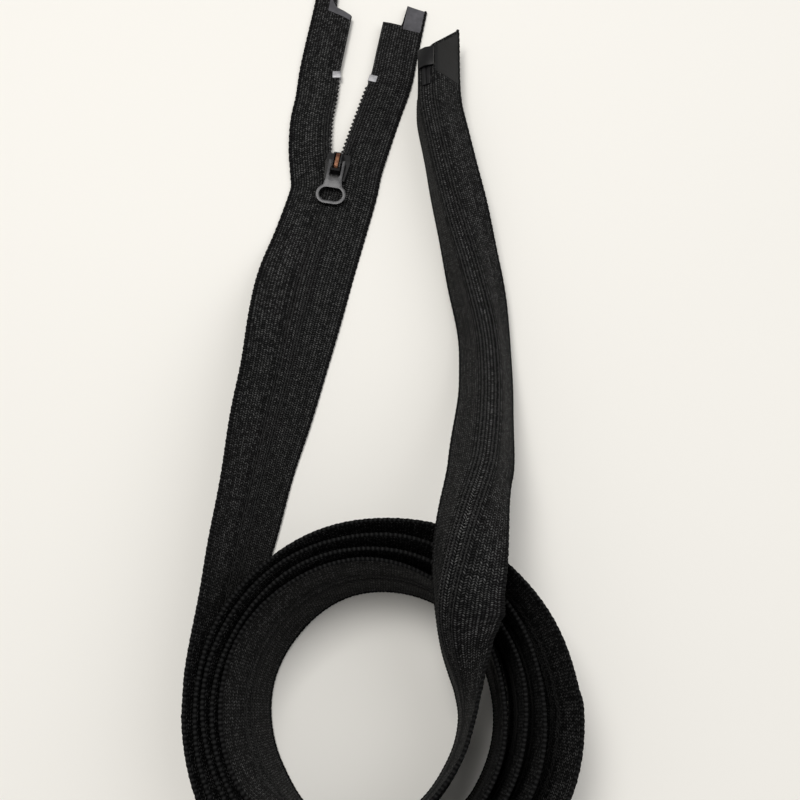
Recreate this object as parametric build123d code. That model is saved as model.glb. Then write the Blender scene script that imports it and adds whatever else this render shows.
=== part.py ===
"""Open-end nylon coil zipper, reverse side up: wound in a standing coil with two loose ends.

The chain lies on z = 0. One end is open around the slider, the other carries the box and pins.
Left and right are the two tapes as seen on the front face, looking from the coil to the slider.
"""
from build123d import *
import math
import os

# Tape, chain and sewing
TAPE_WIDTH = 16.0
TAPE_THICKNESS = 0.55
TAPE_INNER_EDGE = 0.1
CHAIN_HALF_WIDTH = 3.2
COIL_INNER = 0.15
COIL_OUTER = 2.85
COIL_FRONT = -0.36
COIL_BACK = -1.85
COIL_WIRE = 0.45
CORD_INNER = 1.45
CORD_OUTER = 2.6
STITCH_ROWS = (1.4, 2.6)
STITCH_WIDTH = 0.4
STITCH_THICKNESS = 0.07
SEWN_CLEARANCE = 0.08

# Wound coil, standing on its lower edges
COIL_CENTRE = (-3.8, -97.0)
COIL_TOP_RADIUS = 53.6
TURN_PITCH = 2.45
TURN_COUNT = 4.09
STATIONS_PER_TURN = 22
TURN_LEAN = 17.0
TURN_SHIFT = 7.6
LEAN_LOSS_SHIFT = 11.0
FLOOR_GAP = 0.3
EDGE_HEIGHT = 0.4

# Slider, its straight stretch of chain and the two open legs
SLIDER_FOOT = (-23.8, 82.5)
AXIS_HEADING = 9.5
CHAIN_HEIGHT = 3.4
SPLIT_POINT = 4.0
LEFT_SPLAY = 9.1
RIGHT_SPLAY = 5.5
SLIDER_TRAVEL = 35.2
LEFT_TIP_BEND = 8.1
RIGHT_TIP_BEND = 5.0
LEFT_TIP = (28.0, 44.0)
RIGHT_TIP = (26.0, 36.0)
TIP_STEP = 7.8
FILM_THICKNESS = 0.12
JOINT_GAP = 0.3
STOP_LENGTH = 3.0

# Slider
BODY_LENGTH = 11.5
STOP_DISTANCE = SLIDER_TRAVEL + BODY_LENGTH - SPLIT_POINT + JOINT_GAP + STOP_LENGTH
BODY_MOUTH_HALF = 4.7
BODY_FOOT_HALF = 3.75
LOWER_PLATE_TOP = 1.2
RAIL_TOP = 2.45
UPPER_PLATE = (3.95, 5.0)
CROWN_WIDTH = 3.3
CROWN_SPAN = (2.5, 10.7)
CROWN_TOP = 8.3
PIVOT = (6.5, 6.4)
PIVOT_RADIUS = 0.55
PIVOT_CLEARANCE = 0.06
TAB_SLOPE = 6.9
TAB_THICKNESS = 1.1
RING_WIDTH = 10.8
RING_HEIGHT = 7.4
RING_WIRE = 1.1
SPRING_WIDTH = 2.1

# Box and pins at the loose end, measured back from the box's outer face
PIN_LENGTH = 15.0
BOX_LENGTH = 7.0
BOX_HALF_WIDTH = 3.1

# Centre of the whole object's bounding box, as laid out, moved to the origin
LAYOUT_CENTRE = (-4.405, 14.27)

# Loose ends, chosen by hand: chain centre, then how far each tape's edge is raised, in degrees
RUN_STATIONS = (
    (-28.9, 61.0, 2.5, -7, -4),
    (-32.6, 44.0, 4.2, -12, 11),
    (-35.2, 26.0, 8.3, -29, 29),
    (-37.9, 6.0, 11.3, -43, 43),
    (-40.8, -11.0, 12.9, -51, 51),
    (-43.5, -27.0, 14.0, -58, 58),
    (-46.0, -42.0, 14.7, -63, 63),
    (-48.3, -56.0, 15.1, -67, 67),
    (-50.1, -68.0, 15.4, -70.5, 70.5),
    (-51.6, -80.0, 15.6, -72.5, 72.5),
    (-52.5, -90.0, 15.6, -73, 73),
)
TAIL_STATIONS = (
    (-26.0, -125.6, 16.3, -88, 88),
    (-14.0, -129.6, 16.4, -90, 90),
    (-2.0, -128.2, 16.5, -91, 90),
    (8.0, -120.5, 16.9, -92, 89),
    (14.8, -110.5, 18.1, -91, 87),
    (17.6, -101.5, 20.6, -89, 85),
    (17.0, -94.0, 25.5, -88, 74),
    (15.2, -88.5, 31.0, -88, 58),
    (13.2, -83.0, 36.5, -88, 38),
    (12.0, -77.0, 42.5, -86, 14),
    (12.4, -70.0, 47.8, -79, -7),
    (14.0, -63.0, 49.5, -70, -17),
    (16.4, -54.5, 49.2, -62, -27),
    (19.2, -46.0, 47.7, -55, -39),
    (22.3, -37.0, 44.5, -50, -51),
    (24.2, -30.0, 41.0, -48, -54),
    (26.5, -15.0, 33.0, -50, -57),
    (28.0, 2.0, 24.0, -54, -58),
    (27.7, 20.0, 17.6, -58, -54),
    (23.7, 42.0, 15.5, -65, -42),
    (18.4, 64.0, 15.5, -72, -28),
    (13.9, 86.0, 15.6, -76, -24),
    (10.5, 106.0, 15.7, -78, -28),
    (9.9, 115.0, 15.7, -79, -30),
    (9.8, 122.0, 15.7, -80, -30),
    (9.8, 130.0, 15.7, -80, -30),
)
STATION_STEP = 4.0

UP = Vector(0, 0, 1)


class Station:
    """One cross-section of the chain: its centre and the directions of both tapes."""

    def __init__(self, centre, heading, right_angle, left_angle):
        self.centre = Vector(*centre)
        self.heading = Vector(heading.X, heading.Y, 0).normalized()
        self.flat = UP.cross(self.heading)
        roll = (right_angle - left_angle) / 2
        self.rows = {"right": self.tilt(roll), "left": self.tilt(roll) * -1}
        self.flanges = {
            "right": self.flange("right", self.tilt(right_angle)),
            "left": self.flange("left", self.tilt(-left_angle) * -1),
        }

    def tilt(self, degrees):
        angle = math.radians(degrees)
        return self.flat * math.cos(angle) + UP * math.sin(angle)

    def flange(self, side, straight):
        """Direction of the free part of a tape whose edge lies in the straight direction."""
        edge = straight * TAPE_WIDTH - self.rows[side] * CHAIN_HALF_WIDTH
        return edge.normalized()

    def front(self, side, direction):
        """Front normal of a tape stretch that runs outward in the given direction."""
        outward = direction if side == "right" else direction * -1
        return self.heading.cross(outward)

    def point(self, side, across, lift):
        """Point at a distance across the tape, lifted off its mid-plane towards the front."""
        row = self.rows[side]
        row_front = self.front(side, row)
        if across < CHAIN_HALF_WIDTH:
            return self.centre + row * across + row_front * lift
        flange = self.flanges[side]
        bend = self.centre + row * CHAIN_HALF_WIDTH
        flange_front = self.front(side, flange)
        if across == CHAIN_HALF_WIDTH:
            mitre = (row_front + flange_front).normalized()
            return bend + mitre * (lift / mitre.dot(flange_front))
        return bend + flange * (across - CHAIN_HALF_WIDTH) + flange_front * lift


def smooth(rows, step):
    """Catmull-Rom points through rows of numbers, about one step apart."""
    points = []
    for index in range(len(rows) - 1):
        before = rows[max(index - 1, 0)]
        start, end = rows[index], rows[index + 1]
        after = rows[min(index + 2, len(rows) - 1)]
        count = max(1, round(math.dist(start[:3], end[:3]) / step))
        for number in range(count):
            t = number / count
            points.append(tuple(
                (2 * b + (c - a) * t + (2 * a - 5 * b + 4 * c - d) * t**2
                 + (3 * b - a - 3 * c + d) * t**3) / 2
                for a, b, c, d in zip(before, start, end, after)))
    points.append(tuple(rows[-1]))
    return points


def turn_row(turns):
    """Chain centre and tape angles on the wound coil, this many turns from its left side."""
    angle = math.pi + 2 * math.pi * turns
    shift = TURN_SHIFT * math.sqrt(max(0, turns - 0.5)) * (1 + math.cos(angle)) / 2
    lean = TURN_LEAN * max(0, 1 - shift / LEAN_LOSS_SHIFT)
    top = COIL_TOP_RADIUS - TURN_PITCH * turns - shift
    radius = top - TAPE_WIDTH * math.sin(math.radians(lean))
    height = TAPE_WIDTH * math.cos(math.radians(lean)) + FLOOR_GAP
    x = COIL_CENTRE[0] + radius * math.cos(angle)
    y = COIL_CENTRE[1] + radius * math.sin(angle)
    return (x, y, height, lean - 90, 90 - lean)


def stations(rows, first_heading=None):
    """Stations at rows of centre and angles, heading along the line of centres."""
    centres = [Vector(*row[:3]) for row in rows]
    result = []
    for index, row in enumerate(rows):
        ahead = centres[min(index + 1, len(rows) - 1)]
        behind = centres[max(index - 1, 0)]
        heading = ahead - behind
        if index == 0 and first_heading:
            heading = first_heading
        result.append(Station(row[:3], heading, row[3], row[4]))
    return result


def strip(sections):
    """Closed solid of flat triangles through a row of sections with the same corners."""
    faces = [Face(Wire.make_polygon(sections[0])), Face(Wire.make_polygon(sections[-1]))]
    corners = len(sections[0])
    for near, far in zip(sections, sections[1:]):
        for corner in range(corners):
            after = (corner + 1) % corners
            faces.append(Face(Wire.make_polygon([near[corner], near[after], far[after]])))
            faces.append(Face(Wire.make_polygon([near[corner], far[after], far[corner]])))
    return Solid(Shell(faces))


def profile_strip(run, side, outline):
    return strip([[station.point(side, *corner) for corner in outline] for station in run])


def tape_outline(inner=TAPE_INNER_EDGE, outer=TAPE_WIDTH):
    half = TAPE_THICKNESS / 2
    across = (inner, CHAIN_HALF_WIDTH, outer)
    return [(a, -half) for a in across] + [(a, half) for a in reversed(across)]


def coil_outline():
    """Channel section of one row of the coil, open where the cord goes in."""
    top = COIL_FRONT - COIL_WIRE
    bottom = COIL_BACK + COIL_WIRE
    head = CORD_INNER - SEWN_CLEARANCE
    return [(COIL_INNER, COIL_FRONT), (COIL_OUTER, COIL_FRONT), (COIL_OUTER, top), (head, top),
            (head, bottom), (COIL_OUTER, bottom), (COIL_OUTER, COIL_BACK), (COIL_INNER, COIL_BACK)]


def cord_outline():
    top = COIL_FRONT - COIL_WIRE - SEWN_CLEARANCE
    bottom = COIL_BACK + COIL_WIRE + SEWN_CLEARANCE
    return [(CORD_INNER, top), (CORD_OUTER, top), (CORD_OUTER, bottom), (CORD_INNER, bottom)]


def stitch_outline(row):
    low = TAPE_THICKNESS / 2 + SEWN_CLEARANCE
    high = low + STITCH_THICKNESS
    inner, outer = row - STITCH_WIDTH / 2, row + STITCH_WIDTH / 2
    return [(inner, low), (outer, low), (outer, high), (inner, high)]


def chain_parts(run, side):
    """Tape, coil row, cord and sewing of one side along a run of stations."""
    return {
        "tape": profile_strip(run, side, tape_outline()),
        "coil": profile_strip(run, side, coil_outline()),
        "cord": profile_strip(run, side, cord_outline()),
        "stitching": Compound([profile_strip(run, side, stitch_outline(row))
                               for row in STITCH_ROWS]),
    }


# Layout of the slider's own frame: x across, y along the chain towards the open end

def slider_place(z=0.0):
    return Location((SLIDER_FOOT[0], SLIDER_FOOT[1], z), (0, 0, -AXIS_HEADING))


def axis_point(x, y, z=0.0):
    return (slider_place() * Pos(x, y, z)).position


def heading_vector(degrees):
    angle = math.radians(degrees)
    return Vector(math.sin(angle), math.cos(angle), 0)


def lying(centre, along):
    """Station on the floor, both tape edges just clear of it."""
    droop = math.degrees(math.asin((centre.Z - EDGE_HEIGHT) / TAPE_WIDTH))
    return Station(centre, along * -1, -droop, -droop)


def leg_stations(side, trim=0.0):
    """One open leg, from the slider's split point to its top stop, less a trimmed length."""
    splay = LEFT_SPLAY if side == "left" else RIGHT_SPLAY
    length = STOP_DISTANCE - trim
    turn = -splay if side == "left" else splay
    heading = heading_vector(AXIS_HEADING + turn)
    start = axis_point(0, SPLIT_POINT, CHAIN_HEIGHT)
    result = []
    for distance, drop in ((JOINT_GAP, 0), (12, 0.1), (24, 0.8), (length, 1.0)):
        centre = start + heading * distance - UP * drop
        along = heading_vector(AXIS_HEADING + turn / 2) if distance == JOINT_GAP else heading
        result.append(lying(centre, along))
    return result


def tip_stations(side):
    """The plain tape beyond a top stop: joint, end of the inner part, end of the outer part."""
    leg_end = leg_stations(side)[-1]
    splay = -LEFT_SPLAY if side == "left" else RIGHT_SPLAY
    bend = LEFT_TIP_BEND if side == "left" else -RIGHT_TIP_BEND
    lengths = LEFT_TIP if side == "left" else RIGHT_TIP
    heading = heading_vector(AXIS_HEADING + splay + bend)
    result = []
    for distance in (JOINT_GAP, *lengths):
        along = heading_vector(AXIS_HEADING + splay + bend / 2) if distance == JOINT_GAP else heading
        result.append(lying(leg_end.centre + heading * distance, along))
    return result


def tip_tape(side):
    """End of a tape, its inner part cut shorter than its outer part."""
    joint, inner_end, outer_end = tip_stations(side)
    half = TAPE_THICKNESS / 2
    whole = profile_strip([joint, inner_end], side, tape_outline())
    outer = [(TIP_STEP, -half), (TAPE_WIDTH, -half), (TAPE_WIDTH, half), (TIP_STEP, half)]
    return whole + profile_strip([inner_end, outer_end], side, outer)


def tip_film(side):
    """Thin reinforcing film on the front of a tape's cut end."""
    inner_end, outer_end = tip_stations(side)[1:]
    low = TAPE_THICKNESS / 2 + 0.01
    high = low + FILM_THICKNESS
    reach, outer_edge = (1.8, TAPE_WIDTH - 6) if side == "left" else (2.5, TAPE_WIDTH - 0.2)
    start = lying(inner_end.centre + inner_end.heading * reach, inner_end.heading * -1)
    across = (0.4, CHAIN_HALF_WIDTH, outer_edge)
    outline = [(a, low) for a in across] + [(a, high) for a in reversed(across)]
    film = profile_strip([start, inner_end], side, outline)
    if side == "left":
        return film
    outer = [(TIP_STEP, low), (TAPE_WIDTH - 0.2, low), (TAPE_WIDTH - 0.2, high), (TIP_STEP, high)]
    return film + profile_strip([inner_end, outer_end], side, outer)


def top_stop(side):
    """Metal clip bent round the tape's inner edge above the last element."""
    end = leg_stations(side)[-1]
    run = [end, lying(end.centre + end.heading * STOP_LENGTH, end.heading * -1)]
    half = TAPE_THICKNESS / 2 + SEWN_CLEARANCE
    outline = [(-0.3, -1.6), (2.6, -1.6), (2.6, -half), (0.0, -half),
               (0.0, half), (2.9, half), (2.9, 0.75), (-0.3, 0.75)]
    return profile_strip(run, side, outline)


# Slider pieces, in the slider's frame

def body_sketch():
    corners = [(-BODY_FOOT_HALF, 0), (BODY_FOOT_HALF, 0), (4.2, 4), (BODY_MOUTH_HALF, 8),
               (BODY_MOUTH_HALF - 0.5, BODY_LENGTH), (0.5 - BODY_MOUTH_HALF, BODY_LENGTH),
               (-BODY_MOUTH_HALF, 8), (-4.2, 4)]
    sketch = make_face(Polyline(*corners, close=True))
    return fillet(sketch.vertices(), 0.7)


def channel_sketch():
    corners = [(-3.15, -1), (3.15, -1), (3.15, 3.8), (4.1, 9), (4.1, 13), (-4.15, 13),
               (-4.15, 9), (-3.15, 3.8)]
    return make_face(Polyline(*corners, close=True))


def diamond_sketch():
    corners = [(0, 6.6), (-0.78, 10.4), (-0.5, 11.4), (0.1, 11.4), (0.34, 10.4)]
    return fillet(make_face(Polyline(*corners, close=True)).vertices(), 0.12)


def slider_body():
    """Die-cast body: lower plate with rails, post between the rows, upper plate."""
    lower = extrude(body_sketch(), LOWER_PLATE_TOP)
    rails = Pos(0, 0, LOWER_PLATE_TOP) * extrude(body_sketch(), RAIL_TOP - LOWER_PLATE_TOP)
    rails -= extrude(channel_sketch(), RAIL_TOP)
    post = Pos(0, 0, LOWER_PLATE_TOP) * extrude(diamond_sketch(), UPPER_PLATE[0] - LOWER_PLATE_TOP)
    upper = Pos(0, 0, UPPER_PLATE[0]) * extrude(body_sketch(), UPPER_PLATE[1] - UPPER_PLATE[0])
    upper = chamfer(upper.faces().sort_by(Axis.Z)[-1].edges(), 0.25)
    hole = Pos(0, 3.85, UPPER_PLATE[0]) * Box(2.3, 1.0, 4)
    body = lower + rails + post + upper
    return body - hole


def slider_crown():
    """Bridge over the upper plate, open on top, with a cross hole for the tab's pivot."""
    low, high = CROWN_SPAN
    base = UPPER_PLATE[1]
    arch = make_face(Polyline((low, base), (high, base), (high - 0.2, CROWN_TOP - 1.0),
                              (high - 1.4, CROWN_TOP), (low + 1.4, CROWN_TOP),
                              (low + 0.2, CROWN_TOP - 1.0), close=True))
    block = extrude(Plane.YZ * arch, CROWN_WIDTH / 2, both=True)
    middle = (low + high) / 2
    window = Pos(0, middle, base + 2) * Box(SPRING_WIDTH + 0.2, high - low - 1.6, 6)
    crown = block - window
    bore = Pos(0, *PIVOT) * Rot(0, 90, 0) * Cylinder(PIVOT_RADIUS + PIVOT_CLEARANCE, 8)
    return crown - bore


def lock_spring():
    """Leaf spring in the crown's window, with the locking pawl turned down at one end."""
    near, far = CROWN_SPAN[0] + 1.0, CROWN_SPAN[1] - 1.0
    leaf = Polyline((near + 0.5, 3.9), (near + 0.5, 7.0), (near + 1.1, 7.55), (far - 0.1, 7.55),
                    (far - 0.1, 7.9), (near + 0.9, 7.9), (near + 0.15, 7.15), (near + 0.15, 4.1),
                    close=True)
    return extrude(Plane.YZ * make_face(leaf), SPRING_WIDTH / 2, both=True)


def ring_sketch(width, height, centre):
    return Pos(0, centre) * SlotOverall(width, height)


def tab_sketch():
    """Outline of the tab seen flat, its pivot at the origin and its ring below."""
    ring_centre = -12.6
    arms = make_face(Polyline((-3.0, 0.75), (3.0, 0.75), (2.9, -6.6), (3.6, -9.8), (-3.6, -9.8),
                              (-2.9, -6.6), close=True))
    arms -= make_face(Polyline((-2.0, 3), (2.0, 3), (2.0, -5.2), (1.3, -6.1), (-1.3, -6.1),
                               (-2.0, -5.2), close=True))
    ring = ring_sketch(RING_WIDTH, RING_HEIGHT, ring_centre)
    hole = ring_sketch(RING_WIDTH - 2 * RING_WIRE, RING_HEIGHT - 2 * RING_WIRE, ring_centre)
    return arms + ring - hole


def pull_tab():
    """Cast tab: pivot bar, two arms, cross plate and oval ring."""
    plate = extrude(tab_sketch(), TAB_THICKNESS / 2, both=True)
    bar = Rot(0, 90, 0) * Cylinder(PIVOT_RADIUS, 4.4)
    tab = Rot(TAB_SLOPE, 0, 0) * (plate + bar)
    return Pos(0, *PIVOT) * tab


# Box and pins at the loose end

def end_station(distance):
    """Station at a distance past the last sewn element of the loose end."""
    last = Station(TAIL_STATIONS[-1][:3], Vector(0, 1, 0), *TAIL_STATIONS[-1][3:])
    last.centre = last.centre + last.heading * (distance - PIN_LENGTH)
    return last


def end_pin(side, lift):
    """Moulded pin that grips the inner edge of a tape."""
    outline = [(0.1, -1.2), (1.6, -1.2), (1.6, lift), (0.1, lift)]
    return profile_strip([end_station(0.3), end_station(PIN_LENGTH)], side, outline)


def box():
    """Moulded box that the pins sit in, closed at its outer end."""
    run = [end_station(PIN_LENGTH - BOX_LENGTH), end_station(PIN_LENGTH + 1.2)]
    half = TAPE_THICKNESS / 2 + SEWN_CLEARANCE
    solids = []
    for side in ("left", "right"):
        upper = [(0, 1.05), (0, 1.9), (BOX_HALF_WIDTH, 1.3), (BOX_HALF_WIDTH, half + 0.2), (1.7, half + 0.2),
                 (1.7, 1.05)]
        lower = [(0, -1.25), (1.7, -1.25), (1.7, -half), (BOX_HALF_WIDTH, -half),
                 (BOX_HALF_WIDTH, -1.6), (0, -2.1)]
        solids.append(profile_strip(run, side, upper))
        solids.append(profile_strip(run, side, lower))
    cap = [end_station(PIN_LENGTH + 0.1), run[1]]
    for side in ("left", "right"):
        solids.append(profile_strip(cap, side, [(0, -1.3), (1.65, -1.3), (1.65, 1.1), (0, 1.1)]))
    whole = solids[0]
    for solid in solids[1:]:
        whole = whole + solid
    return whole


def end_tape(side):
    """Tape beside the pins, its outer end cut on the slant."""
    outline = tape_outline(1.7)
    near = end_station(0)
    far_lengths = {1.7: 16.5, CHAIN_HALF_WIDTH: 18.5, TAPE_WIDTH: 32.0}
    if side == "right":
        far_lengths = {1.7: 16.5, CHAIN_HALF_WIDTH: 15.5, TAPE_WIDTH: 5.0}
    first = [near.point(side, *corner) for corner in outline]
    last = [end_station(far_lengths[across]).point(side, across, lift) for across, lift in outline]
    return slanted_strip(first, last)


def slanted_strip(first, last):
    """Closed solid between two sections whose ends need not be flat."""
    faces = []
    for section in (first, last):
        a, b, c, d, e, f = section
        for corners in ((a, b, f), (b, e, f), (b, c, e), (c, d, e)):
            faces.append(Face(Wire.make_polygon(corners)))
    for corner in range(6):
        after = (corner + 1) % 6
        faces.append(Face(Wire.make_polygon([first[corner], first[after], last[after]])))
        faces.append(Face(Wire.make_polygon([first[corner], last[after], last[corner]])))
    return Solid(Shell(faces))


def end_film(side):
    """Reinforcing film on the front of the tape beside the box."""
    low = TAPE_THICKNESS / 2 + 0.01
    high = low + FILM_THICKNESS
    across = (3.4, 9.0, TAPE_WIDTH - 0.3)
    starts = (6.0, 6.0, 6.0) if side == "left" else (3.0, 2.0, 0.5)
    ends = (17.5, 23.5, 30.0) if side == "left" else (14.0, 9.5, 4.0)
    first = [end_station(s).point(side, a, low) for a, s in zip(across, starts)]
    first += [end_station(s).point(side, a, high) for a, s in zip(across[::-1], starts[::-1])]
    last = [end_station(e).point(side, a, low) for a, e in zip(across, ends)]
    last += [end_station(e).point(side, a, high) for a, e in zip(across[::-1], ends[::-1])]
    return slanted_strip(first, last)


def chain_runs():
    """The closed chain in three runs: from the slider, wound, and on to the box."""
    split = axis_point(0, SPLIT_POINT, CHAIN_HEIGHT)
    foot = axis_point(0, -3.0, CHAIN_HEIGHT)
    run_rows = [(split.X, split.Y, split.Z, -10.5, -10.5),
                (foot.X, foot.Y, foot.Z - 0.1, -10, -10)]
    run_rows = smooth(run_rows + list(RUN_STATIONS), STATION_STEP)
    count = round(TURN_COUNT * STATIONS_PER_TURN)
    turns = [number / STATIONS_PER_TURN for number in range(count + 1)]
    wound_rows = [turn_row(turn) for turn in turns]
    tail_rows = smooth([wound_rows[-1]] + list(TAIL_STATIONS[:-2]), STATION_STEP)
    whole = stations(run_rows + wound_rows + tail_rows[1:], heading_vector(AXIS_HEADING) * -1)
    first, second = len(run_rows), len(run_rows) + len(wound_rows)
    whole[-1] = end_station(0)
    return {"": whole[:first], "_wound": whole[first - 1:second], "_tail": whole[second - 1:]}


def fitted_start(run, side):
    """The same run with its first section turned to meet the open leg half way."""
    turn = LEFT_SPLAY if side == "left" else -RIGHT_SPLAY
    first = run[0]
    heading = heading_vector(AXIS_HEADING - turn / 2) * -1
    return [lying(first.centre, heading * -1)] + run[1:]


def main():
    parts = {}
    runs = chain_runs()
    for side in ("left", "right"):
        for suffix, run in runs.items():
            fitted = fitted_start(run, side) if suffix == "" else run
            for name, solid in chain_parts(fitted, side).items():
                parts[f"{side}_{name}{suffix}"] = solid
        for name, solid in chain_parts(leg_stations(side, STOP_LENGTH + JOINT_GAP), side).items():
            parts[f"{side}_leg_{name}"] = solid
        parts[f"{side}_leg_tape"] = profile_strip(leg_stations(side), side, tape_outline())
        parts[f"{side}_tip_tape"] = tip_tape(side)
        parts[f"{side}_tip_film"] = tip_film(side)
        parts[f"{side}_top_stop"] = top_stop(side)
        parts[f"{side}_end_tape"] = end_tape(side)
        parts[f"{side}_end_film"] = end_film(side)
    parts["insertion_pin"] = end_pin("left", 0.95)
    parts["retainer_pin"] = end_pin("right", 0.95)
    parts["retainer_box"] = box()
    for name, make in (("slider_body", slider_body), ("slider_crown", slider_crown),
                       ("lock_spring", lock_spring), ("pull_tab", pull_tab)):
        parts[name] = slider_place() * make()

    os.makedirs("parts", exist_ok=True)
    shift = Pos(-LAYOUT_CENTRE[0], -LAYOUT_CENTRE[1], 0)
    low, high = [1e9] * 3, [-1e9] * 3
    for name, solid in parts.items():
        placed = shift * solid
        export_step(placed, f"parts/{name}.step")
        bounds = placed.bounding_box()
        low = [min(a, b) for a, b in zip(low, bounds.min)]
        high = [max(a, b) for a, b in zip(high, bounds.max)]
    print("box", [round(v, 3) for v in low], [round(v, 3) for v in high])


main()
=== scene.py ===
"""Looks of the open-end coil zipper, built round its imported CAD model.

Lengths are in millimetres in the layout's own frame until place() turns them into metres.
Left and right are the two tapes as seen on the front face, looking from the coil to the slider.
"""
import math

import bmesh
import bpy
import numpy as np
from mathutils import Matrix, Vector


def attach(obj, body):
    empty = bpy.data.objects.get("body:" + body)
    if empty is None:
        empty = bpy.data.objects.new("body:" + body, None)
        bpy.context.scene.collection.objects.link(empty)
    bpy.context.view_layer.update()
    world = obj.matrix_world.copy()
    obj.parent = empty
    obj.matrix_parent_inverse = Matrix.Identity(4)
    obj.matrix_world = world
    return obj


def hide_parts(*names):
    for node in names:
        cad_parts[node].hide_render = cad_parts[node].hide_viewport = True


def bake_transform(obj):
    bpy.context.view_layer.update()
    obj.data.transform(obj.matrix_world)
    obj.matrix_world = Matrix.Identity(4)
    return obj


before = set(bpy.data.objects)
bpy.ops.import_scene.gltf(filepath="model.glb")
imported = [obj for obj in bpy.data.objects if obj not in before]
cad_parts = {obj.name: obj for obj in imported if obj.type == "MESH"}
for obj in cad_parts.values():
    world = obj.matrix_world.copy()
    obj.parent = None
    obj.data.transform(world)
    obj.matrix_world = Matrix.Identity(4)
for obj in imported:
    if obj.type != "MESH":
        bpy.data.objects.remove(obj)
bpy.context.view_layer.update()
MM = 0.001
SIDES = ("left", "right")

# Tape, chain and sewing, as in the CAD source
TAPE_WIDTH = 16.0
TAPE_THICKNESS = 0.55
TAPE_INNER_EDGE = 0.1
CHAIN_HALF_WIDTH = 3.2
STITCH_ROWS = (1.4, 2.6)

# Wound coil
COIL_CENTRE = (-3.8, -97.0)
COIL_TOP_RADIUS = 53.6
TURN_PITCH = 2.45
TURN_COUNT = 4.09
TURN_LEAN = 17.0
TURN_SHIFT = 7.6
LEAN_LOSS_SHIFT = 11.0
FLOOR_GAP = 0.3
EDGE_HEIGHT = 0.4

# Slider and the open legs
SLIDER_FOOT = (-23.8, 82.5)
AXIS_HEADING = 9.5
CHAIN_HEIGHT = 3.4
SPLIT_POINT = 4.0
SPLAY = {"left": -9.1, "right": 5.5}
TIP_BEND = {"left": 8.1, "right": -5.0}
TIP_LENGTHS = {"left": (28.0, 44.0), "right": (26.0, 36.0)}
LEG_BOW = {"left": 2.6, "right": 0.4}
STOP_DISTANCE = 46.0
STOP_LENGTH = 3.0
LAYOUT_CENTRE = (-4.405, 14.27)

# Loose ends: chain centre, then how far each tape's edge is raised, in degrees
RUN_STATIONS = (
    (-28.9, 61.0, 2.5, -7, -4),
    (-32.6, 44.0, 4.2, -12, 11),
    (-35.2, 26.0, 8.3, -29, 29),
    (-37.9, 6.0, 11.3, -43, 43),
    (-40.8, -11.0, 12.9, -51, 51),
    (-43.5, -27.0, 14.0, -58, 58),
    (-46.0, -42.0, 14.7, -63, 63),
    (-48.3, -56.0, 15.1, -67, 67),
    (-50.1, -68.0, 15.4, -70.5, 70.5),
    (-51.6, -80.0, 15.6, -72.5, 72.5),
    (-52.5, -90.0, 15.6, -73, 73),
)
TAIL_STATIONS = (
    (-26.0, -125.6, 16.3, -88, 88),
    (-14.0, -129.6, 16.4, -90, 90),
    (-2.0, -128.2, 16.5, -91, 90),
    (8.0, -120.5, 16.9, -92, 89),
    (14.8, -110.5, 18.1, -91, 87),
    (17.6, -101.5, 20.6, -89, 85),
    (17.0, -94.0, 25.5, -88, 74),
    (15.2, -88.5, 31.0, -88, 58),
    (13.2, -83.0, 36.5, -88, 38),
    (12.0, -77.0, 42.5, -86, 14),
    (12.4, -70.0, 47.8, -79, -7),
    (14.0, -63.0, 49.5, -70, -17),
    (16.4, -54.5, 49.2, -62, -27),
    (19.2, -46.0, 47.7, -55, -39),
    (22.3, -37.0, 44.5, -50, -51),
    (24.2, -30.0, 41.0, -48, -54),
    (26.5, -15.0, 33.0, -50, -57),
    (28.0, 2.0, 24.0, -54, -58),
    (27.7, 20.0, 17.6, -58, -54),
    (23.7, 42.0, 15.5, -65, -42),
    (18.4, 64.0, 15.5, -72, -28),
    (13.9, 86.0, 15.6, -76, -24),
    (10.5, 106.0, 15.7, -78, -28),
    (9.9, 115.0, 15.7, -79, -30),
    (9.8, 122.0, 15.7, -80, -30),
    (9.8, 130.0, 15.7, -80, -30),
    (9.8, 140.0, 15.7, -80, -30),
    (9.8, 152.0, 15.7, -80, -30),
)
SEWN_END = (9.8, 115.0)

# Camera, over the wound coil and tilted towards the slider
CAMERA_FOOT = (0.0, -102.95)
CAMERA_HEIGHT = 282.85
CAMERA_TILT = 20
LENS = 40.5
SENSOR_WIDTH = 36.0

# Detail of the chain and the cloth
ELEMENT_PITCH = 1.9
ELEMENT_WIRE = 0.36
ELEMENT_LIFT = -1.12
ELEMENT_REACH = 1.65
ELEMENT_HEIGHT = 0.66
CORD_LINE = 1.35
STITCH_PITCH = 1.9
THREAD_FLATNESS = 0.8
RIB = 1.0
YARN = 0.8
BEAD_PITCH = 1.25
BEAD_LINE = 15.58
EDGE_ROUND = 0.42
# Band across the tape that the weave paints lighter, as a highlight on the selvedge; the knots' cloth
# coordinate lies inside it.
SELVEDGE = (15.3, 17.4)
SELVEDGE_CLOTH = 16.2
FILM_LINES = 24
FILM_THICKNESS = 0.07
SURFACE_GAP = 0.02
FOLD = (2.2, 4.6)

# How far before and after a joint the blend functions read the chain's centre, points they do not use, and
# how far the tape passes the last stitch
MOUTH_BLEND = (5, -7)
TIP_BLEND = (7, -7)


# Route of the chain

def smooth(rows, step):
    """Catmull-Rom points through rows of numbers, about one step apart."""
    points = []
    for index in range(len(rows) - 1):
        before = rows[max(index - 1, 0)]
        start, end = rows[index], rows[index + 1]
        after = rows[min(index + 2, len(rows) - 1)]
        count = max(1, round(math.dist(start[:3], end[:3]) / step))
        for number in range(count):
            t = number / count
            points.append(tuple(
                (2 * b + (c - a) * t + (2 * a - 5 * b + 4 * c - d) * t**2
                 + (3 * b - a - 3 * c + d) * t**3) / 2
                for a, b, c, d in zip(before, start, end, after)))
    points.append(tuple(rows[-1]))
    return points


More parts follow.
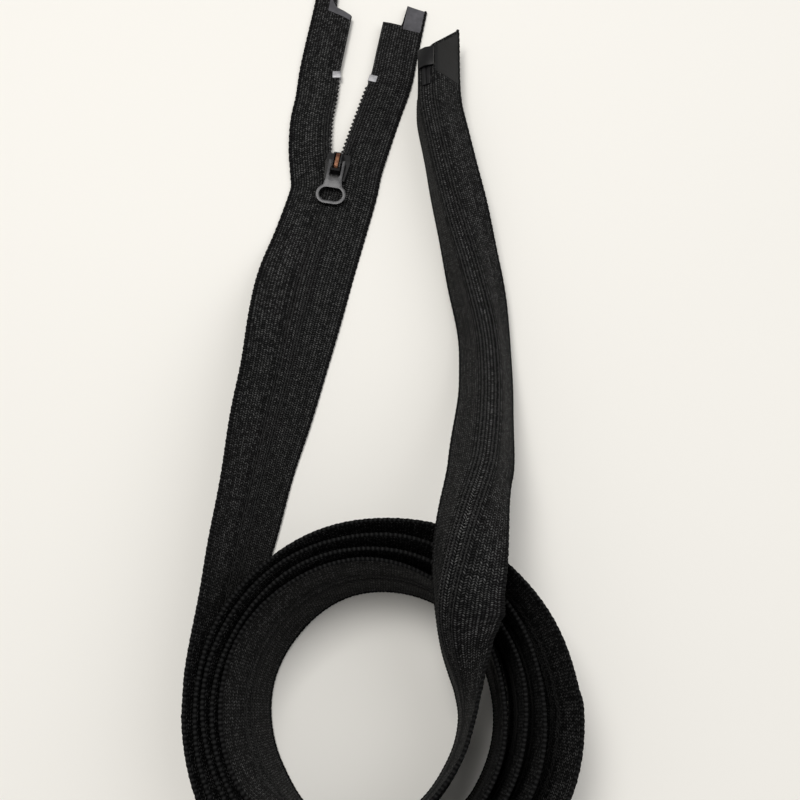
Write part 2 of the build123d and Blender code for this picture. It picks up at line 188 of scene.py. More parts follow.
def turn_row(turns):
    """Chain centre and tape angles on the wound coil, this many turns from its left side."""
    angle = math.pi + 2 * math.pi * turns
    shift = TURN_SHIFT * math.sqrt(max(0, turns - 0.5)) * (1 + math.cos(angle)) / 2
    lean = TURN_LEAN * max(0, 1 - shift / LEAN_LOSS_SHIFT)
    top = COIL_TOP_RADIUS - TURN_PITCH * turns - shift
    radius = top - TAPE_WIDTH * math.sin(math.radians(lean))
    height = TAPE_WIDTH * math.cos(math.radians(lean)) + FLOOR_GAP
    x = COIL_CENTRE[0] + radius * math.cos(angle)
    y = COIL_CENTRE[1] + radius * math.sin(angle)
    return (x, y, height, lean - 90, 90 - lean)


def heading(degrees):
    angle = math.radians(degrees)
    return np.array((math.sin(angle), math.cos(angle), 0.0))


def axis_point(along, height):
    """Point on the slider's axis, this far towards the open end."""
    return np.array((*SLIDER_FOOT, height)) + heading(AXIS_HEADING) * along


def lying(point):
    """Row at a centre whose two tape edges lie just clear of the floor."""
    droop = math.degrees(math.asin((point[2] - EDGE_HEIGHT) / TAPE_WIDTH))
    return (*point, -droop, -droop)


def leg_point(side, distance):
    """Chain centre on an open leg at a distance from the split point."""
    drop = np.interp(distance, (0, 12, 24, STOP_DISTANCE), (0, 0.1, 0.8, 1.0))
    start = axis_point(SPLIT_POINT, CHAIN_HEIGHT - drop)
    leg = start + heading(AXIS_HEADING + SPLAY[side]) * min(distance, STOP_DISTANCE)
    bow = LEG_BOW[side] * math.sin(math.pi * min(distance + 6, STOP_DISTANCE) / STOP_DISTANCE)
    leg = leg + heading(AXIS_HEADING - 90) * bow
    beyond = max(distance - STOP_DISTANCE, 0)
    return leg + heading(AXIS_HEADING + SPLAY[side] + TIP_BEND[side]) * beyond


def route_rows(side):
    """The whole route of one side, from its tip over leg, run, coil and tail to the box end."""
    reach = STOP_DISTANCE + TIP_LENGTHS[side][1] + 2
    distances = (reach, reach - 14, STOP_DISTANCE + 12, STOP_DISTANCE, 34, 24, 12, 4)
    rows = [lying(leg_point(side, distance)) for distance in distances]
    foot = axis_point(-3.0, CHAIN_HEIGHT - 0.1)
    rows.append((*foot, -10, -10))
    turns = np.arange(0, TURN_COUNT * 200) / 200
    wound = [turn_row(turn) for turn in turns]
    run = smooth(rows + list(RUN_STATIONS), 1.0) + wound[2::2]
    tail = smooth([wound[-9], wound[-1]] + list(TAIL_STATIONS), 1.0)
    first = 1 + max(1, round(math.dist(wound[-9][:3], wound[-1][:3])))
    return run + tail[first:]


class Route:
    """Chain centre and tape directions by distance along the chain from the tip, for one side."""

    def __init__(self, side):
        rows = np.array(route_rows(side), float)
        self.side = side
        self.centre = rows[:, :3]
        steps = np.linalg.norm(np.diff(self.centre, axis=0), axis=1)
        self.along = np.concatenate(([0], np.cumsum(steps)))
        ahead = np.gradient(self.centre, self.along, axis=0)
        ahead[:, 2] = 0
        self.heading = ahead / np.linalg.norm(ahead, axis=1, keepdims=True)
        right, left = np.radians(rows[:, 3]), np.radians(rows[:, 4])
        turn = 1 if side == "right" else -1
        edge = self.tilt(right) if side == "right" else -self.tilt(-left)
        self.row = self.tilt((right - left) / 2) * turn
        flange = edge * TAPE_WIDTH - self.row * CHAIN_HALF_WIDTH
        self.flange = flange / np.linalg.norm(flange, axis=1, keepdims=True)
        self.turn = turn

    def tilt(self, angle):
        """Direction across the chain, raised by an angle at each place."""
        flat = np.cross((0, 0, 1), self.heading)
        up = np.array((0, 0, 1.0))
        return flat * np.cos(angle)[:, None] + up * np.sin(angle)[:, None]

    def nearest(self, point):
        """Distance along the chain of the place nearest to a point seen from above."""
        gaps = np.linalg.norm(self.centre[:, :2] - np.array(point[:2]), axis=1)
        return float(self.along[int(np.argmin(gaps))])

    def place(self, along, across, lift):
        """Points in metres, by distance along the chain, across the tape and off its mid-plane."""
        along, across, lift = np.broadcast_arrays(along, across, lift)

        def read(values):
            return np.stack([np.interp(along, self.along, values[:, k]) for k in range(3)], -1)

        centre, ahead, row, flange = map(read, (self.centre, self.heading, self.row, self.flange))
        t = np.clip((across - FOLD[0]) / (FOLD[1] - FOLD[0]), 0, 1)[..., None]
        before, after = CHAIN_HALF_WIDTH - FOLD[0], FOLD[1] - CHAIN_HALF_WIDTH
        point = centre + row * (np.minimum(across, FOLD[0])[..., None] + before * (2 * t - t * t))
        point = point + flange * (after * t * t + np.maximum(across - FOLD[1], 0)[..., None])
        outward = (row * before * (1 - t) + flange * after * t) * self.turn
        front = np.cross(ahead, outward)
        front /= np.linalg.norm(front, axis=-1, keepdims=True)
        point = point + front * lift[..., None]
        return (point - np.array((*LAYOUT_CENTRE, 0))) * MM


ROUTES = {side: Route(side) for side in SIDES}


def marks(side):
    """Distances along the chain at which pieces start and end, for one side."""
    route = ROUTES[side]
    stop = route.nearest(leg_point(side, STOP_DISTANCE))
    return {
        "inner_end": stop - TIP_LENGTHS[side][0],
        "outer_end": stop - TIP_LENGTHS[side][1],
        "stop": stop,
        "sewn": stop + STOP_LENGTH + 0.5,
        "mid": stop + 22,
        "split": route.nearest(axis_point(SPLIT_POINT, 0)),
        "chain": route.nearest(axis_point(-12, 0)),
        "end": route.nearest(SEWN_END),
    }


MARKS = {side: marks(side) for side in SIDES}


# Meshes

def tube_faces(rings, corners, base):
    """Quads round a row of closed rings, and the quads of the cap at each end."""
    near = np.arange(rings - 1)[:, None] * corners + base
    corner = np.arange(corners)[None, :]
    after = (corner + 1) % corners
    quads = np.stack([near + corner, near + after, near + corners + after,
                      near + corners + corner], -1).reshape(-1, 4).tolist()
    end = base + (rings - 1) * corners
    caps = []
    for near_side in range(corners // 2 - 1):
        far_side = corners - 1 - near_side
        caps.append([base + near_side, base + far_side, base + far_side - 1, base + near_side + 1])
        caps.append([end + near_side, end + near_side + 1, end + far_side - 1, end + far_side])
    return quads, caps


def new_piece(name, parts, material):
    """Smooth mesh with flat caps, from closed tubes given as points and cloth coordinates."""
    points, cloth, faces, flat, base = [], [], [], [], 0
    for grid, coordinates in parts:
        rings, corners = grid.shape[:2]
        quads, caps = tube_faces(rings, corners, base)
        faces += quads + caps
        flat += [False] * len(quads) + [True] * len(caps)
        points.append(grid.reshape(-1, 3))
        cloth.append(coordinates.reshape(-1, 3))
        base += rings * corners
    mesh = bpy.data.meshes.new(name)
    mesh.from_pydata(np.concatenate(points).tolist(), [], faces)
    mesh.polygons.foreach_set("use_smooth", [not flag for flag in flat])
    mesh.set_sharp_from_angle(angle=1.2)
    attribute = mesh.attributes.new("cloth", "FLOAT_VECTOR", "POINT")
    attribute.data.foreach_set("vector", np.concatenate(cloth).astype(np.float32).ravel())
    piece = bpy.data.objects.new(name, mesh)
    bpy.context.scene.collection.objects.link(piece)
    mesh.materials.append(material)
    return piece


def ribs(across):
    """Height of the woven ribs that run along the tape."""
    return 0.045 * np.abs(np.sin(np.pi * across / RIB))


def tape_section(inner):
    """Closed outline of a tape: across, lift, and distance round the outline for the weave."""
    half = TAPE_THICKNESS / 2
    columns = np.concatenate((np.linspace(inner, FOLD[1], 14),
                              np.arange(FOLD[1] + RIB / 4, TAPE_WIDTH - 0.6, RIB / 4)))
    front = half + ribs(columns)
    back_columns = columns[::-1]
    back = -half - 0.5 * ribs(back_columns)
    edge_angles = np.radians(np.linspace(110, -110, 8))
    edge_across = TAPE_WIDTH - EDGE_ROUND + EDGE_ROUND * np.cos(edge_angles)
    edge_lift = EDGE_ROUND * np.sin(edge_angles)
    across = np.concatenate((columns, edge_across, back_columns))
    lift = np.concatenate((front, edge_lift, back))
    steps = np.hypot(np.diff(across), np.diff(lift))
    return across, lift, inner + np.concatenate(([0], np.cumsum(steps)))


def waviness(along, across):
    """Slight ripple of the free part of a tape."""
    free = np.clip((across - CHAIN_HALF_WIDTH) / (TAPE_WIDTH - CHAIN_HALF_WIDTH), 0, 1)
    wave = 0.22 * np.sin(along / 11.3) + 0.16 * np.sin(along / 5.7 + 1.3) + 0.3 * np.sin(along / 27.0)
    return free ** 2 * wave


def tape_grid(side, starts, ends, step=1.4, inner=TAPE_INNER_EDGE):
    """Tape between two distances, each a number or a function of the distance across."""
    across, lift, round_it = tape_section(inner)
    start = starts(across) if callable(starts) else np.full_like(across, starts)
    end = ends(across) if callable(ends) else np.full_like(across, ends)
    count = max(4, int(abs(np.mean(end - start)) / step))
    share = np.linspace(0, 1, count)[:, None]
    along = start + (end - start) * share
    across, lift = across + 0 * along, lift + 0 * along
    grid = ROUTES[side].place(along, across, lift + waviness(along, across))
    seed = 0.0 if side == "left" else 500.0
    return grid, np.stack((round_it + 0 * along, along, seed + 0 * along), -1)


def tube_grid(side, along, across, lift, radius, corners=6, flatten=1.0, seed=0.0):
    """Tube round a path that runs mainly along the chain."""
    angle = np.linspace(0, 2 * np.pi, corners, endpoint=False)[None, :]
    along, across, lift, radius = (np.broadcast_to(v, along.shape)[:, None]
                                   for v in (along, across, lift, radius))
    across = across + radius * np.cos(angle)
    lifts = lift + radius * flatten * np.sin(angle)
    grid = ROUTES[side].place(along + 0 * across, across, lifts + waviness(along, across))
    return grid, np.stack((angle + 0 * along, along + 0 * angle, seed + 0 * (along + angle)), -1)


def bead_grid(side, start, end):
    """Braided selvedge: a row of small knots along the tape's outer edge."""
    along = np.arange(start, end, BEAD_PITCH / 8)
    knot = np.abs(np.sin(np.pi * along / BEAD_PITCH)) ** 0.7
    sway = 0.08 * np.sin(along * 2.3)
    grid, cloth = tube_grid(side, along, BEAD_LINE + sway, 0, 0.5 + 0.13 * knot, 8)
    # Cloth coordinate inside the selvedge band, so the knots take its painted highlight.
    cloth[..., 0] = SELVEDGE_CLOTH + 0.05 * cloth[..., 0]
    return grid, cloth


def film_grid(side, start, end, inner, outer):
    """Thin film on the front of a tape between two distances across."""
    columns = np.linspace(inner, outer, FILM_LINES)
    lift = TAPE_THICKNESS / 2 + SURFACE_GAP
    across = np.concatenate((columns, columns[::-1]))
    height = np.repeat((lift + FILM_THICKNESS, lift), FILM_LINES)
    near = np.interp(across, *start)
    far = np.interp(across, *end)
    along = near + (far - near) * np.linspace(0, 1, 14)[:, None]
    across, height = across + 0 * along, height + 0 * along
    grid = ROUTES[side].place(along, across, height + waviness(along, across))
    return grid, np.stack((across, along, height), -1)


def element_grid(side, start, end, tuck):
    """One side's row of coil elements: a flattened helix of monofilament, heads inward."""
    samples = 14
    turns = int((end - start) / ELEMENT_PITCH)
    phase = 0.0 if side == "left" else 0.5
    theta = np.linspace(0, 2 * np.pi * turns, turns * samples + 1)[:, None]
    along = start + ELEMENT_PITCH * (phase + theta / (2 * np.pi) - 0.12 * np.sin(2 * theta))
    angle = np.linspace(0, 2 * np.pi, 6, endpoint=False)[None, :]
    head = np.clip(-np.cos(theta), 0, 1) ** 4
    radius = ELEMENT_WIRE * (1 + 0.25 * head)
    centre = 1.15 + tuck
    across = centre + (ELEMENT_REACH + radius * np.cos(angle)) * np.cos(theta)
    lift = ELEMENT_LIFT + (ELEMENT_HEIGHT + radius * np.cos(angle)) * np.sin(theta)
    along = along + radius * np.sin(angle)
    grid = ROUTES[side].place(along, across, lift)
    return grid, np.stack((angle + 0 * along, along, 0 * along), -1)


def stitch_grids(side, start, end):
    """Two rows of chain stitch: loops on the front, straight thread over the coil on the back."""
    grids = []
    for row_number, row in enumerate(STITCH_ROWS):
        along = np.arange(start, end, STITCH_PITCH / 8)
        beat = (along / STITCH_PITCH + 0.5 * row_number) % 1
        swell = np.sin(np.pi * beat)
        lift = TAPE_THICKNESS / 2 + SURFACE_GAP + 0.16 * swell
        across = row + 0.07 * np.sin(2 * np.pi * beat)
        front_radius = 0.09 + 0.12 * swell
        grids.append(tube_grid(side, along, across, lift, front_radius, 6, THREAD_FLATNESS, row))
        back = ELEMENT_LIFT - ELEMENT_HEIGHT - ELEMENT_WIRE - 0.03 - 0.05 * swell
        back_radius = 0.13 + 0.05 * swell
        grids.append(tube_grid(side, along, row - 0.1, back, back_radius, 6, THREAD_FLATNESS, row))
    return grids


def cord_grid(side, start, end):
    """Filler cord inside the coil row, slightly knobbly."""
    along = np.arange(start, end, 0.6)
    return tube_grid(side, along, CORD_LINE, ELEMENT_LIFT, 0.3 + 0.04 * np.sin(along * 4), 8)


# Materials

class Finish:
    """A material under construction: its node tree, shader and shorthand for adding nodes."""

    def __init__(self, name, **sockets):
        self.material = bpy.data.materials.new(name)
        self.material.use_nodes = True
        self.tree = self.material.node_tree
        self.shader = self.tree.nodes["Principled BSDF"]
        for key, value in sockets.items():
            self.shader.inputs[key.replace("_", " ")].default_value = value

    def node(self, kind, **settings):
        node = self.tree.nodes.new(kind)
        for key, value in settings.items():
            setattr(node, key, value)
        return node

    def feed(self, socket, value):
        if isinstance(value, bpy.types.NodeSocket):
            self.tree.links.new(value, socket)
        else:
            socket.default_value = value

    def math(self, operation, *values):
        node = self.node("ShaderNodeMath", operation=operation)
        for socket, value in zip(node.inputs, values):
            self.feed(socket, value)
        return node.outputs[0]

    def vector(self, x, y, z=0.0):
        node = self.node("ShaderNodeCombineXYZ")
        for socket, value in zip(node.inputs, (x, y, z)):
            self.feed(socket, value)
        return node.outputs[0]

    def cloth(self):
        """Distance across, distance along, and seed, from the mesh."""
        node = self.node("ShaderNodeAttribute", attribute_name="cloth")
        parts = self.node("ShaderNodeSeparateXYZ")
        self.tree.links.new(node.outputs["Vector"], parts.inputs[0])
        return parts.outputs

    def place(self):
        return self.node("ShaderNodeTexCoord").outputs["Object"]

    def noise(self, vector, scale, detail=2.0, roughness=0.5):
        node = self.node("ShaderNodeTexNoise")
        self.feed(node.inputs["Vector"], vector)
        node.inputs["Scale"].default_value = scale
        node.inputs["Detail"].default_value = detail
        node.inputs["Roughness"].default_value = roughness
        return node.outputs["Fac"]

    def random(self, vector):
        node = self.node("ShaderNodeTexWhiteNoise")
        self.feed(node.inputs["Vector"], vector)
        return node.outputs["Value"]

    def ramp(self, value, stops):
        node = self.node("ShaderNodeValToRGB")
        self.feed(node.inputs[0], value)
        elements = node.color_ramp.elements
        while len(elements) < len(stops):
            elements.new(0.5)
        for element, (position, colour) in zip(elements, stops):
            element.position = position
            element.color = (*colour, 1)
        return node.outputs[0]

    def bump(self, height, distance, strength=1.0):
        node = self.node("ShaderNodeBump")
        node.inputs["Strength"].default_value = strength
        node.inputs["Distance"].default_value = distance
        self.feed(node.inputs["Height"], height)
        self.tree.links.new(node.outputs[0], self.shader.inputs["Normal"])


def woven():
    """Matte black weave: slanting yarns in uneven columns with a painted highlight on each yarn's crown, a
    fine grain, and a braided selvedge painted lighter as a highlight.
    """
    finish = Finish("woven tape", Specular_IOR_Level=0.06)
    across, along, seed = finish.cloth()
    place = finish.vector(across, along, seed)
    wander = finish.math("MULTIPLY", finish.noise(place, 1.1, 3.0), 1.1)
    rib = finish.math("DIVIDE", across, RIB)
    rib_number = finish.math("FLOOR", rib)
    in_rib = finish.math("FRACT", rib)
    way = finish.math("SUBTRACT", finish.math("MULTIPLY", finish.math("PINGPONG", rib_number, 1.0), 2.0), 1.0)
    slant = finish.math("MULTIPLY", finish.math("SUBTRACT", in_rib, 0.5), finish.math("MULTIPLY", way, 0.8))
    yarn = finish.math("ADD", finish.math("ADD", finish.math("DIVIDE", along, YARN), slant), wander)
    yarn_number = finish.math("FLOOR", yarn)
    yarn_round = finish.math("SINE", finish.math("MULTIPLY", finish.math("FRACT", yarn), math.pi))
    rib_round = finish.math("SINE", finish.math("MULTIPLY", in_rib, math.pi))
    height = finish.math("MULTIPLY", yarn_round, finish.math("MULTIPLY_ADD", rib_round, 0.7, 0.3))
    chance = finish.random(finish.vector(rib_number, yarn_number, seed))
    fibre = finish.noise(place, 9.0, 3.0, 0.6)
    warp = finish.random(finish.vector(rib_number, seed))
    # Base colour: each yarn's crown is painted lighter as a highlight, its strength a random tone per yarn
    # and per column, plus a fine random grain.
    bright = finish.math("MULTIPLY_ADD", chance, 0.5, finish.math("MULTIPLY_ADD", warp, 0.22, 0.33))
    yarn_tone_and_highlight = finish.math("MULTIPLY", bright, height)
    grain = finish.math("SUBTRACT", finish.noise(place, 2.6, 3.0, 0.7), 0.5)
    yarn_tone_and_highlight = finish.math("MULTIPLY_ADD", grain, 0.5, yarn_tone_and_highlight)
    # Across the selvedge band the colour is replaced by a lighter tone: painted highlight on the braided
    # edge, brighter at each knot, with fibre texture.
    selvedge = finish.math("MULTIPLY", finish.math("GREATER_THAN", across, SELVEDGE[0]),
                           finish.math("LESS_THAN", across, SELVEDGE[1]))
    knot = finish.math("SINE", finish.math("MULTIPLY", along, 2 * math.pi / BEAD_PITCH))
    edge_highlight = finish.math("MULTIPLY_ADD", fibre, 0.2, finish.math("MULTIPLY_ADD", knot, 0.12, 0.16))
    yarn_tone_and_highlight = finish.math("MULTIPLY_ADD", selvedge, finish.math("SUBTRACT", edge_highlight, yarn_tone_and_highlight), yarn_tone_and_highlight)
    colour = finish.ramp(yarn_tone_and_highlight, ((0.0, (0.0004, 0.0004, 0.0004)), (0.2, (0.003, 0.003, 0.0032)),
                                 (0.5, (0.023, 0.0233, 0.0236)), (1.0, (0.13, 0.13, 0.13))))
    finish.feed(finish.shader.inputs["Base Color"], colour)
    rough = finish.math("MULTIPLY_ADD", fibre, 0.3, 0.6)
    finish.feed(finish.shader.inputs["Roughness"], rough)
    relief = finish.math("MULTIPLY_ADD", fibre, 0.4, height)
    finish.bump(finish.math("MULTIPLY_ADD", chance, 0.5, relief), 0.0002)
    return finish.material


def filament():
    """Semi-gloss black nylon monofilament."""
    finish = Finish("nylon element", Specular_IOR_Level=0.45)
    place = finish.place()
    cloud = finish.noise(place, 900.0, 3.0)
    finish.feed(finish.shader.inputs["Base Color"],
                finish.ramp(cloud, ((0.3, (0.006, 0.006, 0.007)), (0.7, (0.018, 0.018, 0.019)))))
    finish.feed(finish.shader.inputs["Roughness"], finish.math("MULTIPLY_ADD", cloud, 0.25, 0.28))
    finish.bump(finish.noise(place, 4000.0, 2.0), 0.00002)
    return finish.material


def thread():
    """Twisted polyester thread, painted lighter along each twist's crest as a highlight."""
    finish = Finish("sewing thread", Specular_IOR_Level=0.15)
    angle, along = finish.cloth()[:2]
    twist = finish.math("SINE", finish.math("ADD", finish.math("MULTIPLY", along, 16.0), angle))
    fuzz = finish.noise(finish.place(), 5000.0, 2.0)
    # Base colour lighter along the twist's crests, a painted highlight, with random fuzz.
    value = finish.math("MULTIPLY_ADD", fuzz, 0.5, finish.math("MULTIPLY_ADD", twist, 0.25, 0.25))
    finish.feed(finish.shader.inputs["Base Color"],
                finish.ramp(value, ((0.1, (0.002, 0.002, 0.002)), (0.9, (0.04, 0.04, 0.04)))))
    finish.feed(finish.shader.inputs["Roughness"], finish.math("MULTIPLY_ADD", fuzz, 0.3, 0.45))
    finish.bump(twist, 0.00005)
    return finish.material


def film(name, low, high, shine):
    """Smooth melted-on film over the weave, dark with a soft gloss."""
    finish = Finish(name, Specular_IOR_Level=shine, Coat_Weight=0.3 * shine, Coat_Roughness=0.3)
    place = finish.place()
    cloud = finish.noise(place, 260.0, 4.0, 0.6)
    finish.feed(finish.shader.inputs["Base Color"],
                finish.ramp(cloud, ((0.3, low), (0.7, high))))
    finish.feed(finish.shader.inputs["Roughness"], finish.math("MULTIPLY_ADD", cloud, 0.35, 0.25))
    finish.bump(finish.noise(place, 1500.0, 3.0), 0.00006)
    return finish.material


def enamel(name, low, high, rough, metallic, shine):
    """Sprayed, plated or moulded finish with slight orange peel."""
    finish = Finish(name, Metallic=metallic, Specular_IOR_Level=shine, Coat_Weight=0.3 * shine,
                    Coat_Roughness=0.12)
    place = finish.place()
    cloud = finish.noise(place, 500.0, 4.0, 0.6)
    finish.feed(finish.shader.inputs["Base Color"], finish.ramp(cloud, ((0.3, low), (0.7, high))))
    finish.feed(finish.shader.inputs["Roughness"], finish.math("MULTIPLY_ADD", cloud, 0.2, rough))
    finish.bump(finish.noise(place, 2500.0, 2.0), 0.00002)
    return finish.material


def floor_finish():
    finish = Finish("pale paper", Roughness=0.75)
    cloud = finish.noise(finish.place(), 3.0, 2.0)
    finish.feed(finish.shader.inputs["Base Color"],
                finish.ramp(cloud, ((0.2, (0.86, 0.845, 0.81)), (0.8, (0.88, 0.865, 0.83)))))
    return finish.material


WOVEN = woven()
FILAMENT = filament()
THREAD = thread()
FILM = film("reinforcing film", (0.035, 0.035, 0.04), (0.08, 0.078, 0.09), 0.5)
DARK_FILM = film("film over black tape", (0.003, 0.003, 0.003), (0.011, 0.011, 0.012), 0.15)
BLACK = enamel("black enamel", (0.003, 0.003, 0.0035), (0.008, 0.008, 0.009), 0.18, 0.0, 0.4)
GUNMETAL = enamel("gunmetal plating", (0.03, 0.03, 0.032), (0.065, 0.065, 0.067), 0.32, 1.0, 0.3)
BRONZE = enamel("phosphor bronze", (0.1, 0.04, 0.035), (0.4, 0.2, 0.11), 0.26, 1.0, 0.0)
ALUMINIUM = enamel("bare aluminium", (0.3, 0.3, 0.32), (0.55, 0.55, 0.57), 0.5, 1.0, 0.0)
MOULDED = enamel("moulded plastic", (0.002, 0.002, 0.0025), (0.006, 0.006, 0.007), 0.25, 0.0, 0.22)


# Camera, light and floor

def camera():
    """Camera at the photograph's viewing angle."""
    data = bpy.data.cameras.new("camera")
    data.lens = LENS
    data.sensor_width = SENSOR_WIDTH
    data.clip_start = 0.01
    thing = bpy.data.objects.new("camera", data)
    x, y = (np.array(CAMERA_FOOT) - LAYOUT_CENTRE) * MM
    thing.location = (x, y, CAMERA_HEIGHT * MM)
    thing.rotation_euler = (math.radians(CAMERA_TILT), 0, 0)
    bpy.context.scene.collection.objects.link(thing)
    bpy.context.scene.camera = thing


def area_light(name, place, aim, size, power, colour):
    data = bpy.data.lights.new(name, "AREA")
    data.size = size
    data.energy = power
    data.color = colour
    light = bpy.data.objects.new(name, data)
    light.location = place
    light.rotation_euler = (Vector(aim) - Vector(place)).to_track_quat("-Z", "Y").to_euler()
    bpy.context.scene.collection.objects.link(light)


def surroundings():
    """Pale floor, soft lights and the world."""
    world = bpy.data.worlds.new("studio")
    bpy.context.scene.world = world
    world.use_nodes = True
    background = world.node_tree.nodes["Background"]
    background.inputs["Color"].default_value = (1.0, 0.98, 0.95, 1)
    background.inputs["Strength"].default_value = 0.42
    area_light("key", (-0.22, 0.24, 0.95), (0, 0, 0), 0.4, 5.6, (1.0, 0.985, 0.95))
    area_light("fill", (0.55, 0.15, 0.7), (0, 0, 0), 0.8, 1.9, (0.98, 0.99, 1.0))
    mesh = bpy.data.meshes.new("floor")
    corners = [(-2, -2, 0), (2, -2, 0), (2, 2, 0), (-2, 2, 0)]
    mesh.from_pydata(corners, [], [(0, 1, 2, 3)])
    mesh.materials.append(floor_finish())
    floor = bpy.data.objects.new("floor", mesh)
    bpy.context.scene.collection.objects.link(floor)
    bpy.context.scene.view_settings.view_transform = "Standard"


# Castings and mouldings

def softened(node, width, material, name, motion, slim=1.0):
    """A hard piece with its edges rounded off, and if wanted slimmer across the slider."""
    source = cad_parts[node]
    mesh = source.data.copy()
    work = bmesh.new()
    work.from_mesh(mesh)
    work.transform(source.matrix_world)
    across = Vector(heading(AXIS_HEADING + 90))
    middle = sum((vert.co for vert in work.verts), Vector()) / len(work.verts)
    for vert in work.verts:
        vert.co -= across * (vert.co - middle).dot(across) * (1 - slim)
    bmesh.ops.remove_doubles(work, verts=work.verts, dist=1e-6)
    bmesh.ops.dissolve_limit(work, angle_limit=0.02, verts=work.verts, edges=work.edges)
    edges = [edge for edge in work.edges if edge.is_manifold and edge.calc_face_angle() > 0.6]
    bmesh.ops.bevel(work, geom=edges, offset=width * MM, segments=3, profile=0.5, affect="EDGES",
                    clamp_overlap=True)
    bmesh.ops.triangulate(work, faces=work.faces)
    work.to_mesh(mesh)
    work.free()
    mesh.polygons.foreach_set("use_smooth", [True] * len(mesh.polygons))
    mesh.set_sharp_from_angle(angle=0.7)
    mesh.materials.clear()
    mesh.materials.append(material)
    piece = bpy.data.objects.new(name, mesh)
    bpy.context.scene.collection.objects.link(piece)
    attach(piece, motion)
    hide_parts(node)


def hardware():
    """Slider, pull tab, spring, top stops, box and pins."""
    softened("slider_body", 0.3, BLACK, "slider_casting", "slider")
    softened("slider_crown", 0.25, BLACK, "slider_bridge", "slider")
    softened("lock_spring", 0.08, BRONZE, "locking_spring", "lock_spring", 0.68)
    softened("pull_tab", 0.32, GUNMETAL, "pull_tab_casting", "pull_tab")
    for node in ("retainer_box", "insertion_pin", "retainer_pin"):
        softened(node, 0.25, MOULDED, f"{node}_moulding", "chain")
    for side in SIDES:
        softened(f"{side}_top_stop", 0.3, ALUMINIUM, f"{side}_stop_clip", f"{side}_leg")


# Chain pieces

def tip_end(side):
    """Where the tape's cut end lies, by distance across: inner part short, outer part long."""
    at = MARKS[side]
    if side == "left":
        return lambda across: np.interp(across, (0, 7.0, 8.0, 16),
                                        (at["inner_end"] + 1, at["inner_end"] - 3,
                                         at["outer_end"], at["outer_end"]))
    return lambda across: np.interp(across, (0, 7.5, 8.1, 16),
                                    (at["inner_end"], at["inner_end"], at["outer_end"],
                                     at["outer_end"] + 1))


def box_end(side):
    """Where the tape ends beside the box, by distance across."""
    start = MARKS[side]["end"]
    if side == "left":
        return lambda across: start + np.interp(across, (0, 3.2, 16), (16.5, 18.5, 32.0))
    return lambda across: start + np.interp(across, (0, 3.2, 16), (16.5, 15.5, 5.0))


def row_point(side, along):
    """Point on the chain's centre line, in metres."""
    return ROUTES[side].place(along, 0.0, 0.0).tolist()


def blend_mouth(piece, side):
    """Bake a piece's placement into its mesh, at the joint of the closed chain and the open leg; the bend's
    end points are read but not used.
    """
    at = MARKS[side]
    ends = [row_point(side, at["split"] + offset) for offset in MOUTH_BLEND]
    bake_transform(piece)


def blend_tip(piece, side):
    """Bake a piece's placement into its mesh, at the joint of the open leg and the tape's end; the bend's end
    points are read but not used.
    """
    at = MARKS[side]
    ends = [row_point(side, at["stop"] + offset) for offset in TIP_BLEND]
    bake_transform(piece)


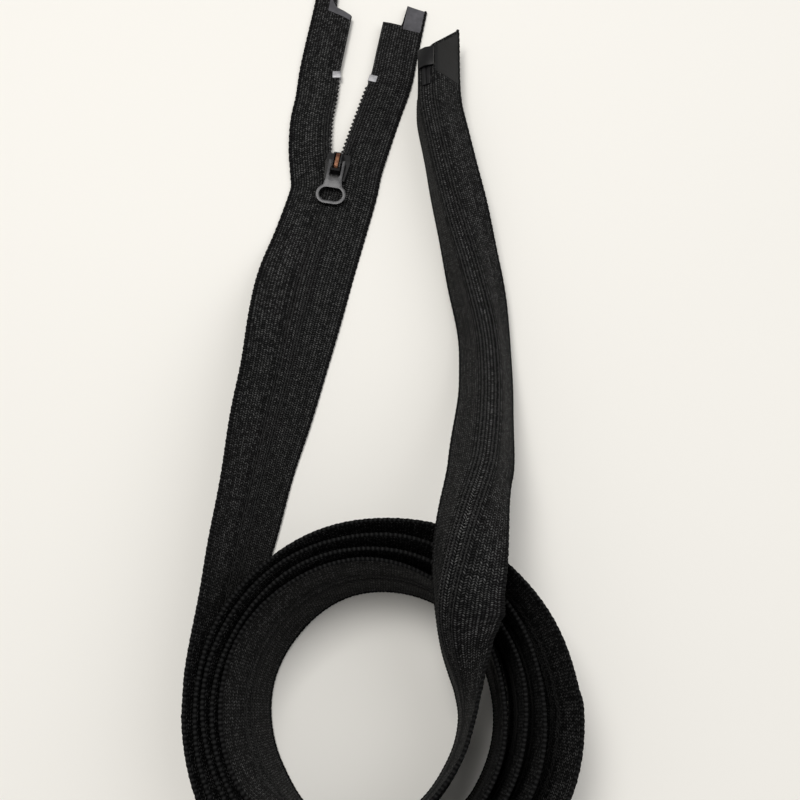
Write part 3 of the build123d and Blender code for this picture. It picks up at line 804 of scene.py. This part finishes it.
def tapes(side):
    """One tape in three sheets: wound chain with its tail, open leg, and tip."""
    at = MARKS[side]
    nodes = [f"{side}_tape", f"{side}_tape_wound", f"{side}_tape_tail", f"{side}_end_tape"]
    edge_stop = at["end"] + (31.5 if side == "left" else 5.0)
    cloth = [tape_grid(side, at["chain"], box_end(side)), bead_grid(side, at["chain"], edge_stop)]
    chain = new_piece(f"{side}_tape_chain", cloth, WOVEN)
    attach(chain, "chain")
    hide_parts(*nodes)
    cloth = [tape_grid(side, at["mid"], at["chain"]), bead_grid(side, at["mid"], at["chain"])]
    mouth = new_piece(f"{side}_tape_mouth", cloth, WOVEN)
    blend_mouth(mouth, side)
    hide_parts(f"{side}_leg_tape")
    cloth = [tape_grid(side, tip_end(side), at["mid"]), bead_grid(side, at["outer_end"] + 0.5, at["mid"])]
    tip = new_piece(f"{side}_tape_end", cloth, WOVEN)
    blend_tip(tip, side)
    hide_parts(f"{side}_tip_tape")


def sewn_parts(side):
    """Elements, filler cord and stitches along the chain and up the leg to the stop."""
    at = MARKS[side]
    tuck = 0.0 if side == "right" else 0.5
    kinds = {
        "coil": (lambda a, b: [element_grid(side, a, b, tuck)], FILAMENT, "coil"),
        "cord": (lambda a, b: [cord_grid(side, a, b)], THREAD, "cord"),
        "stitching": (lambda a, b: stitch_grids(side, a, b), THREAD, "thread"),
    }
    for kind, (grids, material, slot) in kinds.items():
        chain = new_piece(f"{side}_{kind}_chain", grids(at["chain"], at["end"]), material)
        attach(chain, "chain")
        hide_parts(f"{side}_{kind}", f"{side}_{kind}_wound", f"{side}_{kind}_tail")
        mouth = new_piece(f"{side}_{kind}_mouth", grids(at["sewn"], at["chain"]), material)
        blend_mouth(mouth, side)
        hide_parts(f"{side}_leg_{kind}")


def films(side):
    """Reinforcing films: across a tape's cut end at the tip, and beside the box."""
    at = MARKS[side]
    if side == "left":
        tip = film_grid(side, ((0.4, 7.0, 10.0), np.add((0.6, -3.2, -8.5), at["inner_end"])),
                        ((0.4, 10.0), np.add((3.0, -1.5), at["inner_end"])), 0.4, 10.0)
        box = film_grid(side, ((3.4, 16), np.add((6, 6), at["end"])),
                        ((3.4, 9, 16), np.add((17.5, 23, 30.5), at["end"])), 3.4, 15.4)
    else:
        tip = film_grid(side, ((8.2, 15.4), np.add((0.1, 0.9), at["outer_end"])),
                        ((8.2, 15.4), np.add((1.5, 1.5), at["inner_end"])), 8.2, 15.4)
        box = film_grid(side, ((3.4, 16), np.add((3, 0.5), at["end"])),
                        ((3.4, 9, 16), np.add((14, 9.6, 4.2), at["end"])), 3.4, 15.4)
    piece = new_piece(f"{side}_film_tip", [tip], FILM)
    blend_tip(piece, side)
    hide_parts(f"{side}_tip_film")
    piece = new_piece(f"{side}_film_end", [box], DARK_FILM)
    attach(piece, "chain")
    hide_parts(f"{side}_end_film")


camera()
surroundings()
for side in SIDES:
    tapes(side)
    sewn_parts(side)
    films(side)
hardware()
